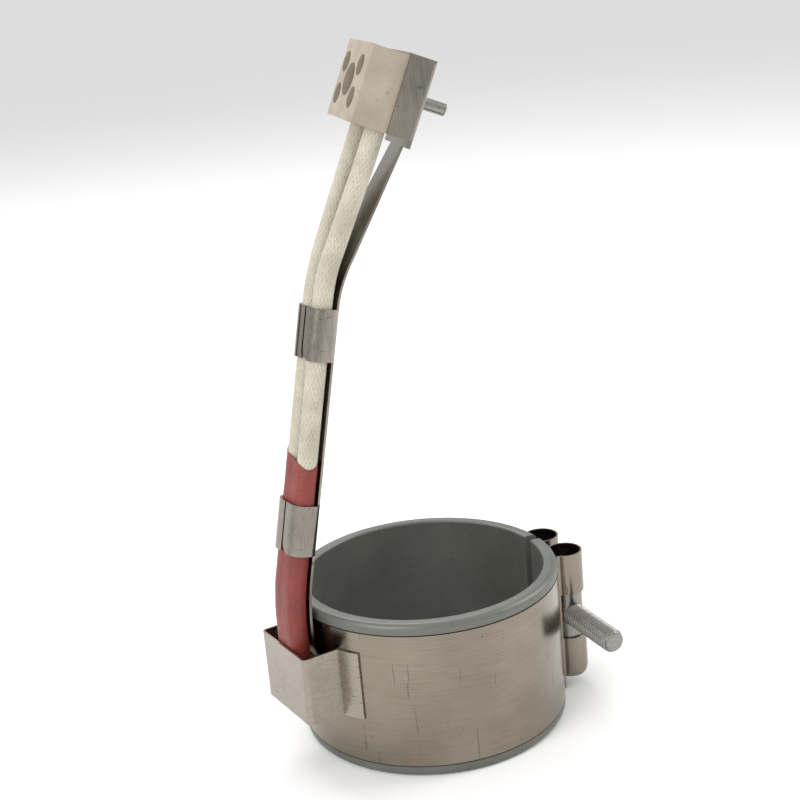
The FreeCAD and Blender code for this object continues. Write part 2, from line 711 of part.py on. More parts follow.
def add_support_bracket():
    """One strip: foot on the band, joggle, leaning run with four clip tabs, twist, and tray."""
    foot = -size("band_outer_radius") - size("foot_clearance")
    high = lean_point(size("high_bend_height"))
    end = Vector(size("tray_x"), 0, size("tray_z"))
    last_run = end - high
    bend_reach = size("high_bend_radius") * math.tan(
        (last_run.getAngle(Vector(0, 0, 1)) - math.radians(size("lean"))) / 2)
    twist_start = high + last_run.normalize() * (bend_reach + size("twist_margin"))
    route = rounded_route(
        [Vector(foot, 0, size("foot_bottom")), Vector(foot, 0, size("foot_top")),
         Vector(-size("strip_stand"), 0, size("joggle_top")),
         Vector(-size("strip_stand"), 0, size("low_bend_height")), high, twist_start],
        [size("joggle_radius"), size("joggle_radius"), size("low_bend_radius"),
         size("high_bend_radius")])
    base = FreeCAD.Placement(Vector(foot, 0, size("foot_bottom")), FreeCAD.Rotation())
    run = sweep_section(route, strip_section(base))
    run_tilt = math.degrees(Vector(0, 0, 1).getAngle(end - high))
    lower = FreeCAD.Placement(twist_start, FreeCAD.Rotation(Vector(0, 1, 0), run_tilt))
    upper = FreeCAD.Placement(end, FreeCAD.Rotation(size("tray_twist"), size("tray_tilt"), 0))
    twist = Part.makeLoft([strip_section(lower), strip_section(upper)], True, True)
    strip = run.fuse(twist)
    strip.transformShape(placed("arm").toMatrix())
    parts = [shape_feature("bracket_strip", strip)]
    for name, height, bore in (("low", "clip_low", "clip_radius"),
                               ("high", "clip_high", "lead_radius + clip_clearance")):
        parts += clip_tabs(name, height, bore)
    parts += tray_parts()
    node(fuse("bracket", *parts), "support_bracket")


def clip_tabs(name, height, bore):
    """The near and the far tab of one clip: up the strip's edge and round the front of the leads."""
    run = f"({height} - low_bend_height) * tan(lean) - strip_stand"
    frame = f"clip_{name}"
    FRAMES[frame] = (FRAMES["arm"] + f"placement(vector({run};0;{height});rotation(0;lean;0))*")
    wall, low, tall = "strip_thickness", "-clip_height / 2", "clip_height"
    side = f"lead_pitch / 2 + {bore}"
    tabs = []
    for end, sign in (("near", "-1"), ("far", "1")):
        label = f"clip_{name}_{end}"
        turned = end == "near"
        y = f"{sign} * ({side} - clip_corner)"
        back = tube(f"{label}_back", "clip_corner", wall, tall, "-strip_thickness - clip_corner", y, low,
                    "270" if turned else "0", "90", frame)
        front = tube(f"{label}_front", bore, wall, tall, "clip_front", f"{sign} * lead_pitch / 2", low,
                     "180" if turned else "90", "90", frame)
        edges = (side, f"{side} + {wall}")
        flats = ("clip_seam / 2", "lead_pitch / 2")
        root = ("0", f"{side} - clip_corner")
        if turned:
            edges, flats, root = (tuple(f"-({edge})" for edge in reversed(pair))
                                  for pair in (edges, flats, root))
        levels = (low, "clip_height / 2")
        wing = box(f"{label}_side", ("clip_front", "-strip_thickness - clip_corner"), edges, levels, frame)
        tip = box(f"{label}_tip", (f"clip_front - {bore} - {wall}", f"clip_front - {bore}"),
                  flats, levels, frame)
        web = box(f"{label}_web", ("-strip_thickness", "0"), root, levels, frame)
        tab = fuse(label, back, wing, front, tip, web)
        if turned:
            tab = cut(f"{label}_trimmed", tab, tip_corner(label, bore, frame))
        tabs.append(tab)
    return tabs


def tip_corner(label, bore, frame):
    """What the round lower corner of a near tab's tip leaves out."""
    edge, level = "-clip_seam / 2", "-clip_height / 2"
    across = (f"clip_front - {bore} - 2 * strip_thickness", f"clip_front - {bore} + strip_thickness")
    block = box(f"{label}_corner_block", across, (f"{edge} - clip_trim", edge),
                (level, f"{level} + clip_trim"), frame)
    drum = cylinder(f"{label}_corner_drum", "clip_trim", f"({across[1]}) - ({across[0]})", across[0],
                    f"{edge} - clip_trim", f"{level} + clip_trim", "x", frame=frame)
    return cut(f"{label}_corner", block, drum)


def tray_parts():
    """The tray that holds the block: back plate, two side flanges and a lip over the top."""
    wall = "strip_thickness"
    outer = rounded_box("tray_outside", ("-2 * tray_flange", "0"), ("-tray_half", "tray_half"),
                        ("0", "block_top"), "tray_corner", "tray")
    hollow = rounded_box("tray_inside", ("-3 * tray_flange", f"-{wall}"),
                         ("-tray_inner_half", "tray_inner_half"), ("0", "block_top"),
                         f"tray_corner - {wall}", "tray")
    front = box("tray_front", ("-3 * tray_flange", "-tray_flange"), ("-2 * tray_half", "2 * tray_half"),
                ("0", "block_top"), "tray")
    reliefs = [box(f"tray_relief{count}", ("-2 * tray_flange", "0"), edges, ("0", "tray_sill"), "tray")
               for count, edges in enumerate((("-tray_half", "tray_relief - tray_half"),
                                              ("tray_half - tray_relief", "tray_half")))]
    hole = cylinder("tray_hole", "small_screw_radius + pin_clearance", "3 * strip_thickness",
                    "-2 * strip_thickness", "0", "block_middle", "x", frame="tray")
    lip = box("tray_lip", ("-lip_depth", "0"), ("tray_relief - tray_half", "tray_half - tray_relief"),
              ("block_top + tray_clearance", f"block_top + tray_clearance + {wall}"), "tray")
    neck = box("tray_neck", (f"-{wall}", "0"), ("tray_relief - tray_half", "tray_half - tray_relief"),
               ("tray_sill", f"block_top + tray_clearance + {wall}"), "tray")
    return [cut("tray", fuse("tray_sheet", cut("tray_folded", outer, hollow, front, *reliefs), neck, lip),
                hole)]


# --- terminal block and its screws --------------------------------------------------------------

def poles():
    """Each pole's name and the sign of its side."""
    return (("near", "-1"), ("far", "1"))


def levels():
    """Each terminal screw's name part and the sign of its height from the block's middle."""
    return (("low", "-1"), ("high", "1"))


def head_base(level):
    """Where a terminal screw's head starts: the upper ones are backed out, clear of the bore."""
    return "terminal_head_x" if level == "low" else "terminal_head_x - open_screw_lift"


def add_ceramic_block():
    """The insulating block: a channel for each pole, a hole for each screw and one for the fixing."""
    block = rounded_box("block_body", ("block_face", "-strip_thickness"),
                        ("-block_width / 2", "block_width / 2"), ("tray_sill", "block_top"),
                        "block_corner", "tray")
    holes = []
    for pole, side in poles():
        y = f"{side} * pole_spacing / 2"
        holes.append(cylinder(f"channel_{pole}", "insert_radius + insert_clearance", "block_height",
                              "insert_x", y, "tray_sill", frame="tray"))
        for level, sign in levels():
            holes.append(cylinder(f"access_{pole}_{level}", "access_radius", "insert_depth", "block_face",
                                  y, f"block_middle + {sign} * screw_spacing / 2", "x", frame="tray"))
    holes.append(cylinder("centre_well", "centre_radius", "centre_depth", "block_face", "0",
                          "block_middle", "x", frame="tray"))
    holes.append(cylinder("centre_hole", "small_screw_radius + pin_clearance", "block_depth",
                          "block_face", "0", "block_middle", "x", frame="tray"))
    node(cut("block", block, *holes), "ceramic_block")


def add_inserts():
    """A brass sleeve in each channel, with two cross holes for its screws."""
    for pole, side in poles():
        y = f"{side} * pole_spacing / 2"
        bottom = "block_middle - insert_length / 2"
        rod = cylinder(f"insert_{pole}_rod", "insert_radius", "insert_length", "insert_x", y, bottom,
                       frame="tray")
        bore = cylinder(f"insert_{pole}_bore", "insert_bore", "insert_length", "insert_x", y, bottom,
                        frame="tray")
        threads = [cylinder(f"insert_{pole}_{level}", "small_screw_radius + thread_clearance",
                            "insert_radius", "insert_x - insert_radius", y,
                            f"block_middle + {sign} * screw_spacing / 2", "x", frame="tray")
                   for level, sign in levels()]
        node(cut(f"insert_{pole}", rod, bore, *threads), f"insert_{pole}")


def slotted(name, head, shank, x, y, z):
    """Fuse a screw's head and shank and cut the driver's slot in its face at x."""
    slot = box(f"{name}_slot", (x, f"{x} + slot_depth"), (f"{y} - block_head_radius",
               f"{y} + block_head_radius"), (f"{z} - slot_width / 2", f"{z} + slot_width / 2"), "tray")
    return cut(name, fuse(f"{name}_whole", head, shank), slot)


def add_terminal_screws():
    """Four slotted screws for the wires in the inserts: the lower two press the leads."""
    for pole, side in poles():
        for level, sign in levels():
            name = f"terminal_screw_{pole}_{level}"
            base = head_base(level)
            face = f"{base} - terminal_head_height"
            y, z = f"{side} * pole_spacing / 2", f"block_middle + {sign} * screw_spacing / 2"
            head = cylinder(f"{name}_head", "terminal_head_radius", "terminal_head_height", face, y, z,
                            "x", frame="tray")
            shank = cylinder(f"{name}_shank", "small_screw_radius",
                             "insert_x - conductor_radius - thread_clearance - terminal_head_x",
                             base, y, z, "x", frame="tray")
            node(slotted(f"{name}_cut", head, shank, face, y, z), name)


def add_block_fixing():
    """The screw through the block and the tray, and its nut behind the tray."""
    seat = "block_face + centre_depth"
    face = f"{seat} - block_head_height"
    head = cylinder("block_screw_head", "block_head_radius", "block_head_height", face, "0",
                    "block_middle", "x", frame="tray")
    shank = cylinder("block_screw_shank", "small_screw_radius", "block_screw_length", seat, "0",
                     "block_middle", "x", frame="tray")
    node(slotted("block_screw_cut", head, shank, face, "0", "block_middle"), "block_screw")
    nut = prism("block_nut_body", "nut_flats", "nut_height", "0", "0", "block_middle", "x", "tray")
    hole = cylinder("block_nut_hole", "small_screw_radius + thread_clearance", "nut_height", "0", "0",
                    "block_middle", "x", frame="tray")
    node(cut("block_nut_cut", nut, hole), "block_nut")


# --- leads and sleeve ---------------------------------------------------------------------------

def lead_route(side):
    """The corners of a lead's route and its bends' radii, from the cover up to the block."""
    y = side * size("lead_pitch") / 2
    x = size("lead_x")
    lean = math.tan(math.radians(size("lean")))
    rise, fan = size("lead_rise"), size("lead_fan_height")
    entry_x, entry_y = size("insert_x"), side * size("pole_spacing") / 2
    tray = placed("tray")
    points = [arm_point(x, y, size("lead_bottom")), arm_point(x, y, rise),
              arm_point(x + (fan - rise) * lean, y, fan),
              tray.multVec(Vector(entry_x, entry_y, -size("lead_run_out"))),
              tray.multVec(Vector(entry_x, entry_y, size("tray_sill") + size("lead_entry")))]
    radii = [size("low_bend_radius") + size("lead_offset"), size("lead_fan_radius"),
             size("lead_exit_radius")]
    return points, radii


def add_leads():
    """The two leads: insulation along the whole route, a bare conductor out of each end."""
    for name, side in (("near", -1), ("far", 1)):
        points, radii = lead_route(side)
        route = rounded_route(points, radii)
        begin = (points[1] - points[0]).normalize()
        finish = (points[-1] - points[-2]).normalize()
        ring = Part.Wire(Part.makeCircle(size("lead_radius"), points[0], begin))
        insulation = sweep_section(route, ring)
        drop = size("lead_bottom") - size("conductor_bottom")
        stub_low = Part.makeCylinder(size("conductor_radius"), drop, points[0], -begin)
        stub_high = Part.makeCylinder(size("conductor_radius"), size("conductor_entry"), points[-1],
                                      finish)
        section = math.pi * size("lead_radius") ** 2
        print(f"lead_{name}: length {route.Length:.1f} mm, radii {radii}, "
              f"volume ratio {insulation.Volume / (section * route.Length):.4f}, "
              f"turns {[round(math.degrees((b - a).getAngle(c - b)), 1) for a, b, c in zip(points, points[1:], points[2:])]}")
        node(shape_feature(f"lead_{name}_shape", insulation.fuse([stub_low, stub_high])), f"lead_{name}")


def stadium(half_gap, radius, centre, along):
    """A closed wire of two half circles and two straight sides, across the route's start."""
    side = placed("arm").Rotation.multVec(Vector(0, 1, 0))
    out = side.cross(along)
    left, right = centre - side * half_gap, centre + side * half_gap
    return Part.Wire([
        Part.LineSegment(left + out * radius, right + out * radius).toShape(),
        Part.Arc(right + out * radius, right + side * radius, right - out * radius).toShape(),
        Part.LineSegment(right - out * radius, left - out * radius).toShape(),
        Part.Arc(left - out * radius, left - side * radius, left + out * radius).toShape()])


def add_sleeve():
    """A flattened sleeve round both leads, cut at a slant at its upper end."""
    x, lean = size("lead_x"), math.tan(math.radians(size("lean")))
    rise, top = size("lead_rise"), size("sleeve_top")
    points = [arm_point(x, 0, size("sleeve_bottom")), arm_point(x, 0, rise),
              arm_point(x + (top - rise) * lean, 0, top)]
    route = rounded_route(points, [size("low_bend_radius") + size("lead_offset")])
    begin = (points[1] - points[0]).normalize()
    half = size("lead_pitch") / 2
    outer = sweep_section(route, stadium(half, size("sleeve_radius"), points[0], begin))
    inner = sweep_section(route, stadium(half, size("sleeve_radius") - size("sleeve_wall"),
                                         points[0], begin))
    tube_shape = shape_feature("sleeve_tube", outer.cut(inner))
    span = "sleeve_top"
    waste = doc.addObject("Part::Box", "sleeve_waste")
    for prop in ("Length", "Width", "Height"):
        bind(waste, prop, span)
    bind(waste, "Placement", f"{FRAMES['arm']}placement(vector(lead_x;0;sleeve_cut_height);"
         f"rotation(0;0;sleeve_cut_angle))*placement(vector(-{span} / 2;-{span} / 2;0);rotation(0;0;0))")
    node(cut("sleeve", tube_shape, waste), "lead_sleeve")


def write_steps():
    """Check every object, then write one STEP file for each piece."""
    doc.recompute()
    for item in doc.Objects:
        if "Invalid" in item.State or "Error" in item.State:
            raise RuntimeError(f"{item.Name} is in state {item.State}")
    os.makedirs("parts", exist_ok=True)
    for item in NODES:
        if item.Shape.isNull() or not item.Shape.isValid():
            raise RuntimeError(f"{item.Label} has no valid shape")
        if len(item.Shape.Solids) != 1:
            print(f"{item.Label} has {len(item.Shape.Solids)} solids")
        item.Shape.exportStep(os.path.join("parts", f"{item.Label}.step"))
        box_now = item.Shape.BoundBox
        print(f"{item.Label}: volume {item.Shape.Volume:.1f} "
              f"x {box_now.XMin:.2f}..{box_now.XMax:.2f} y {box_now.YMin:.2f}..{box_now.YMax:.2f} "
              f"z {box_now.ZMin:.2f}..{box_now.ZMax:.2f}")


add_inner_sheath()
tab_window = add_ring_layers()
add_ribbon()
add_clamp_band(tab_window)
add_clamp()
add_terminal_cover()
add_element_ends()
add_support_bracket()
add_ceramic_block()
add_inserts()
add_terminal_screws()
add_block_fixing()
add_leads()
add_sleeve()
write_steps()
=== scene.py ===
# %% [markdown]
# A mica band heater is a split ring of thin sheets with a flat resistance ribbon inside. A steel
# band with a screw clamp closes it on a machine barrel. Two glass-braided leads climb a bracket arm
# to a ceramic terminal block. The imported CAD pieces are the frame: most keep their shape and get a
# finish, and a few that need threads, braid or a soft fold get a surface of their own.

# %% Load the frame
import bpy
import math
import numpy as np
from mathutils import Matrix, Vector


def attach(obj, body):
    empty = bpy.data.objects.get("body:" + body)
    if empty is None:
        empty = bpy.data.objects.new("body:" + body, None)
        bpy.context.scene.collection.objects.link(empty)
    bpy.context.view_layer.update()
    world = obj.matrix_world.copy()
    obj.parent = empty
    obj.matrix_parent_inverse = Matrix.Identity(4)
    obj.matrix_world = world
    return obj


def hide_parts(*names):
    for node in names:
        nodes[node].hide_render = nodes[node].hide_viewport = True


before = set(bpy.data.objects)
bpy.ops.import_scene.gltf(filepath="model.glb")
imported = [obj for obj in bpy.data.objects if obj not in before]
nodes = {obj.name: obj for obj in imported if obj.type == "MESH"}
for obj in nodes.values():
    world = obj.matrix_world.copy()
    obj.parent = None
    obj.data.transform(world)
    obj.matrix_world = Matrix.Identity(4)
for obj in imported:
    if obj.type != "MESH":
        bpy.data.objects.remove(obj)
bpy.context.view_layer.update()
print("CAD pieces:", len(nodes))

# %% [markdown]
# All new surfaces are grids: point (i, j) is a function of two parameters, and neighbouring points
# make quads. One helper turns such an array into a mesh, closes it round either way, and stores the
# two parameters as a UV map, so that a pattern can follow the surface.

# %% Grid to mesh


def grid_piece(name, points, body, material, wrap=True, attribute=None, uv_scale=(1.0, 1.0)):
    """A mesh from points[i, j]: i runs along the piece and j round it.

    Quad (i, j) joins the points (i, j), (i, j + 1), (i + 1, j + 1) and (i + 1, j); with wrap, the
    last column joins the first. UV is (j / columns, i / rows) times uv_scale.
    """
    rows, columns = points.shape[:2]
    spans = columns if wrap else columns - 1
    i, j = np.meshgrid(np.arange(rows - 1), np.arange(spans), indexing="ij")
    after = (j + 1) % columns
    quads = np.stack([i * columns + j, i * columns + after, (i + 1) * columns + after,
                      (i + 1) * columns + j], axis=-1).reshape(-1, 4)
    mesh = bpy.data.meshes.new(name)
    mesh.from_pydata(points.reshape(-1, 3), [], quads)
    u = np.stack([j, j + 1, j + 1, j], axis=-1).reshape(-1) / spans * uv_scale[0]
    v = np.stack([i, i, i + 1, i + 1], axis=-1).reshape(-1) / (rows - 1) * uv_scale[1]
    layer = mesh.uv_layers.new(name="along_and_round")
    layer.data.foreach_set("uv", np.stack([u, v], axis=-1).reshape(-1).astype(np.float32))
    if attribute is not None:
        data = mesh.attributes.new(name="relief", type="FLOAT", domain="POINT")
        data.data.foreach_set("value", attribute.reshape(-1).astype(np.float32))
    mesh.polygons.foreach_set("use_smooth", np.ones(len(quads), dtype=bool))
    mesh.materials.append(material)
    mesh.update()
    piece = bpy.data.objects.new(name, mesh)
    bpy.context.scene.collection.objects.link(piece)
    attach(piece, body)
    print(f"{name}: {rows} x {columns} points")
    return piece


# %% [markdown]
# Every finish is built from a few shared effects. Each effect is a shader node group with named
# sockets: grain for cast or coated skins, rolling lines and scratches for bright sheet, and stains
# for the slow change of tone over a piece. The groups only hand out numbers. The Principled BSDF
# stays in each material.

# %% Node helpers


def add(tree, kind, inputs=(), **settings):
    """A node with settings, whose inputs are given as (socket, number, colour or other socket)."""
    item = tree.nodes.new(kind)
    for key, setting in settings.items():
        setattr(item, key, setting)
    for socket, content in dict(inputs).items():
        if isinstance(content, bpy.types.NodeSocket):
            tree.links.new(content, item.inputs[socket])
        else:
            item.inputs[socket].default_value = content
    return item


def maths(tree, operation, first, second=0.0, third=0.0):
    """The output of one Math node."""
    return add(tree, "ShaderNodeMath", {0: first, 1: second, 2: third}, operation=operation).outputs[0]


def remap(tree, content, low, high, to_low=0.0, to_high=1.0):
    """content mapped from low..high to to_low..to_high, and held there."""
    return add(tree, "ShaderNodeMapRange", {0: content, 1: low, 2: high, 3: to_low, 4: to_high}).outputs[0]


def noise(tree, vector, scale, detail=3.0, roughness=0.5):
    return add(tree, "ShaderNodeTexNoise", {"Vector": vector, "Scale": scale, "Detail": detail,
                                            "Roughness": roughness}).outputs[0]


def blend_colour(tree, factor, first, second):
    item = add(tree, "ShaderNodeMix", {0: factor, 6: first, 7: second}, data_type="RGBA")
    return item.outputs[2]


def new_group(name, inputs, outputs):
    """An empty node group: inputs and outputs are {socket name: socket type}."""
    tree = bpy.data.node_groups.new(name, "ShaderNodeTree")
    for title, kind in inputs.items():
        tree.interface.new_socket(title, in_out="INPUT", socket_type="NodeSocket" + kind)
    for title, kind in outputs.items():
        tree.interface.new_socket(title, in_out="OUTPUT", socket_type="NodeSocket" + kind)
    start = tree.nodes.new("NodeGroupInput").outputs
    end = tree.nodes.new("NodeGroupOutput").inputs
    return tree, start, end


def use(tree, group, inputs):
    """A group's node in a material, with its values."""
    item = tree.nodes.new("ShaderNodeGroup")
    item.node_tree = group
    for socket, content in inputs.items():
        if isinstance(content, bpy.types.NodeSocket):
            tree.links.new(content, item.inputs[socket])
        else:
            item.inputs[socket].default_value = content
    return item.outputs


# %% Shared effects
def make_grain():
    """Height = fine noise at Scale plus half of coarser noise; Stain = slow noise at Stain Scale."""
    tree, start, end = new_group("skin_grain", {"Vector": "Vector", "Scale": "Float", "Stain Scale": "Float"},
                                 {"Height": "Float", "Stain": "Float", "Speck": "Float"})
    fine = noise(tree, start["Vector"], start["Scale"], 4.0, 0.6)
    coarse = noise(tree, start["Vector"], maths(tree, "MULTIPLY", start["Scale"], 0.3), 2.0)
    tree.links.new(maths(tree, "ADD", fine, maths(tree, "MULTIPLY", coarse, 0.5)), end["Height"])
    tree.links.new(noise(tree, start["Vector"], start["Stain Scale"], 5.0, 0.6), end["Stain"])
    tree.links.new(remap(tree, coarse, 0.68, 0.74), end["Speck"])
    return tree


def make_rolling():
    """Lines = noise much finer across the sheet than along it; Scratch = rare thin streaks."""
    tree, start, end = new_group("rolling_lines", {"Vector": "Vector", "Across": "Vector",
                                                   "Scratch Across": "Vector"},
                                 {"Lines": "Float", "Scratch": "Float", "Cloud": "Float", "Pit": "Float"})
    lines = noise(tree, add(tree, "ShaderNodeVectorMath", {0: start["Vector"], 1: start["Across"]},
                            operation="MULTIPLY").outputs[0], 1.0, 3.0, 0.7)
    streak = noise(tree, add(tree, "ShaderNodeVectorMath", {0: start["Vector"], 1: start["Scratch Across"]},
                             operation="MULTIPLY").outputs[0], 1.0, 2.0, 0.4)
    tree.links.new(lines, end["Lines"])
    tree.links.new(remap(tree, streak, 0.715, 0.745), end["Scratch"])
    tree.links.new(noise(tree, start["Vector"], 70.0, 4.0, 0.55), end["Cloud"])
    tree.links.new(remap(tree, noise(tree, start["Vector"], 900.0, 2.0), 0.73, 0.77), end["Pit"])
    return tree


def make_round_coordinates():
    """Object coordinates as (arc length round Z at Radius, distance from Z, height)."""
    tree, start, end = new_group("round_coordinates", {"Radius": "Float"}, {"Vector": "Vector"})
    split = add(tree, "ShaderNodeSeparateXYZ", {0: add(tree, "ShaderNodeTexCoord").outputs["Object"]}).outputs
    angle = maths(tree, "ARCTAN2", split[1], split[0])
    reach = maths(tree, "SQRT", maths(tree, "ADD", maths(tree, "MULTIPLY", split[0], split[0]),
                                      maths(tree, "MULTIPLY", split[1], split[1])))
    joined = add(tree, "ShaderNodeCombineXYZ", {0: maths(tree, "MULTIPLY", angle, start["Radius"]),
                                                1: reach, 2: split[2]})
    tree.links.new(joined.outputs[0], end["Vector"])
    return tree


grain, rolling, round_coordinates = make_grain(), make_rolling(), make_round_coordinates()

# %% [markdown]
# A material starts with one Principled BSDF. Its plain numbers are set on the shader's own sockets,
# and only what changes over the surface is linked: colour, roughness and the height of a Bump node.

# %% Material builders


def new_material(name, **plain):
    """A material with its shader, and plain values for the shader's sockets."""
    material = bpy.data.materials.new(name)
    material.use_nodes = True
    shader = material.node_tree.nodes["Principled BSDF"]
    for socket, content in plain.items():
        shader.inputs[socket.replace("_", " ")].default_value = content
    return material, material.node_tree, shader


def join(tree, shader, colour=None, roughness=None, height=None, depth=0.0001, strength=1.0):
    """Link colour, roughness and bump height to the shader."""
    if colour is not None:
        tree.links.new(colour, shader.inputs["Base Color"])
    if roughness is not None:
        tree.links.new(roughness, shader.inputs["Roughness"])
    if height is not None:
        bump = add(tree, "ShaderNodeBump", {"Height": height, "Strength": strength, "Distance": depth})
        tree.links.new(bump.outputs[0], shader.inputs["Normal"])


def object_vector(tree):
    return add(tree, "ShaderNodeTexCoord").outputs["Object"]


def skin(name, dark, light, rough, scale=3000.0, stain_scale=60.0, depth=0.00002, speck=None, **plain):
    """A matt skin: colour runs from dark to light with the stain, and specks show where given."""
    material, tree, shader = new_material(name, **plain)
    out = use(tree, grain, {"Vector": object_vector(tree), "Scale": scale, "Stain Scale": stain_scale})
    colour = blend_colour(tree, remap(tree, out["Stain"], 0.3, 0.7), dark, light)
    if speck is not None:
        colour = blend_colour(tree, maths(tree, "MULTIPLY", out["Speck"], 0.7), colour, speck)
    join(tree, shader, colour, remap(tree, out["Height"], 0.5, 1.0, rough[0], rough[1]), out["Height"], depth)
    return material


def sheet_metal(name, dark, light, rough, across, scratch_across, vector=None, depth=0.000006, radius=None,
                **plain):
    """Bright sheet: rolling lines and clouds move its tone and roughness, scratches and pits break it."""
    material, tree, shader = new_material(name, Metallic=1.0, **plain)
    if radius is None:
        vector = object_vector(tree)
    else:
        vector = use(tree, round_coordinates, {"Radius": radius})["Vector"]
    out = use(tree, rolling, {"Vector": vector, "Across": across, "Scratch Across": scratch_across})
    tone = maths(tree, "ADD", maths(tree, "MULTIPLY", out["Lines"], 0.55),
                 maths(tree, "MULTIPLY", out["Cloud"], 0.45))
    colour = blend_colour(tree, remap(tree, tone, 0.36, 0.64), dark, light)
    marks = maths(tree, "MAXIMUM", maths(tree, "MULTIPLY", out["Scratch"], 0.55),
                  maths(tree, "MULTIPLY", out["Pit"], 0.8))
    colour = blend_colour(tree, marks, colour, tuple(0.3 * part for part in dark[:3]) + (1.0,))
    height = maths(tree, "SUBTRACT", out["Lines"], maths(tree, "MULTIPLY", marks, 2.0))
    join(tree, shader, colour, remap(tree, tone, 0.35, 0.65, rough[0], rough[1]), height, depth)
    return material


# %% [markdown]
# The ring's skin is coated sheet, matt and grey with a faint green. The band, the cover and the
# bracket are bright stainless: warm grey, with rolling lines along each strip. The lines run round
# the ring on the band and along the height on the arm, so each gets its own stretch.

# %% Finishes of the CAD pieces
coated_sheet = skin("coated_sheet", (0.105, 0.112, 0.095, 1), (0.155, 0.16, 0.14, 1), (0.34, 0.5),
                    scale=4000.0, stain_scale=45.0, depth=0.000012, speck=(0.06, 0.06, 0.05, 1),
                    Metallic=0.35)
band_steel = sheet_metal("band_steel", (0.2, 0.172, 0.136, 1), (0.28, 0.245, 0.2, 1), (0.17, 0.26),
                         (90.0, 900.0, 5200.0), (1500.0, 400.0, 60.0), radius=0.0333)
arm_steel = sheet_metal("arm_steel", (0.2, 0.18, 0.152, 1), (0.33, 0.3, 0.26, 1), (0.16, 0.3),
                        (4200.0, 4200.0, 110.0), (300.0, 300.0, 900.0))
cover_steel = sheet_metal("cover_steel", (0.27, 0.238, 0.198, 1), (0.38, 0.34, 0.29, 1), (0.2, 0.34),
                          (500.0, 160.0, 3800.0), (90.0, 400.0, 1500.0))
zinc_plate = sheet_metal("zinc_plate", (0.2, 0.195, 0.172, 1), (0.32, 0.312, 0.285, 1), (0.2, 0.36),
                         (1500.0, 1500.0, 1500.0), (900.0, 200.0, 900.0))
ribbon_alloy = sheet_metal("ribbon_alloy", (0.4, 0.38, 0.35, 1), (0.55, 0.53, 0.5, 1), (0.25, 0.4),
                           (2500.0, 2500.0, 200.0), (300.0, 300.0, 900.0))
brass_bar = sheet_metal("brass_bar", (0.48, 0.35, 0.13, 1), (0.66, 0.5, 0.22, 1), (0.22, 0.38),
                        (2600.0, 2600.0, 300.0), (500.0, 500.0, 500.0))
mica_sheet = skin("mica_sheet", (0.36, 0.3, 0.2, 1), (0.6, 0.54, 0.42, 1), (0.4, 0.6), scale=1500.0,
                  stain_scale=220.0, depth=0.00003, speck=(0.85, 0.8, 0.68, 1))
fired_ceramic = skin("fired_ceramic", (0.3, 0.255, 0.2, 1), (0.4, 0.345, 0.275, 1), (0.42, 0.6),
                     scale=3500.0, stain_scale=120.0, depth=0.00003, speck=(0.2, 0.17, 0.13, 1))
nickel_plate = sheet_metal("nickel_plate", (0.4, 0.38, 0.33, 1), (0.55, 0.53, 0.47, 1), (0.22, 0.35),
                           (1800.0, 1800.0, 400.0), (500.0, 500.0, 500.0))

finish = {
    "inner_sheath": coated_sheet, "outer_sheath": coated_sheet, "clamp_band": band_steel,
    "mica_inner_sheet": mica_sheet, "mica_outer_sheet": mica_sheet, "element_core": mica_sheet,
    "resistance_ribbon": ribbon_alloy, "element_terminal_near": ribbon_alloy,
    "element_terminal_far": ribbon_alloy, "terminal_cover": cover_steel, "support_bracket": arm_steel,
    "ceramic_block": fired_ceramic, "insert_near": brass_bar, "insert_far": brass_bar,
    "crimp_near": nickel_plate, "crimp_far": nickel_plate,
}
for name, item in nodes.items():
    for place in item.material_slots:
        place.material = finish.get(name, zinc_plate)
print("finishes:", len(bpy.data.materials))

# %% [markdown]
# The leads are held along the arm, so their line is known: straight runs joined by arcs, as the
# clips and the block hold them. A path is a dense row of points with a frame at each one. The frame
# is carried from point to point with the least turn, so a pattern wound round it doesn't twist.

# %% Paths
BEARING = math.radians(6.6)
TWIST = math.radians(-15.5)
TILT = math.radians(23.6)
LEAN = math.radians(12.85)
MM = 0.001


def turn_z(points, angle):
    """points turned about Z by angle."""
    c, s = math.cos(angle), math.sin(angle)
    x, y, z = np.asarray(points, float).T
    return np.stack([c * x - s * y, s * x + c * y, z], axis=-1)


def tray_points(points):
    """Points of the terminal tray's own frame, in the arm's frame: tilt about Y, twist about Z, move."""
    c, s = math.cos(TILT), math.sin(TILT)
    x, y, z = np.asarray(points, float).T
    tilted = np.stack([c * x + s * z, y, c * z - s * x], axis=-1)
    return turn_z(tilted, TWIST) + np.array([3.2, 0.0, 146.1])


def bent_path(corners, radii, step):
    """Points about step apart along straight runs joined by arcs that touch both runs."""
    corners = np.asarray(corners, float)
    runs = np.diff(corners, axis=0)
    ways = runs / np.linalg.norm(runs, axis=1)[:, None]
    parts, start = [], corners[0]
    for corner, way, onward, radius in zip(corners[1:-1], ways, ways[1:], radii):
        turn = math.acos(float(way @ onward))
        reach = radius * math.tan(turn / 2)
        first = corner - way * reach
        count = max(2, int(np.linalg.norm(first - start) / step))
        parts.append(start + (first - start) * np.linspace(0, 1, count, endpoint=False)[:, None])
        side = (onward - way * (way @ onward)) / math.sin(turn)
        angles = np.linspace(0, turn, max(3, int(radius * turn / step)), endpoint=False)[:, None]
        parts.append(first + radius * (np.sin(angles) * way + (1 - np.cos(angles)) * side))
        start = corner + onward * reach
    count = max(2, int(np.linalg.norm(corners[-1] - start) / step))
    parts.append(start + (corners[-1] - start) * np.linspace(0, 1, count)[:, None])
    return np.concatenate(parts)


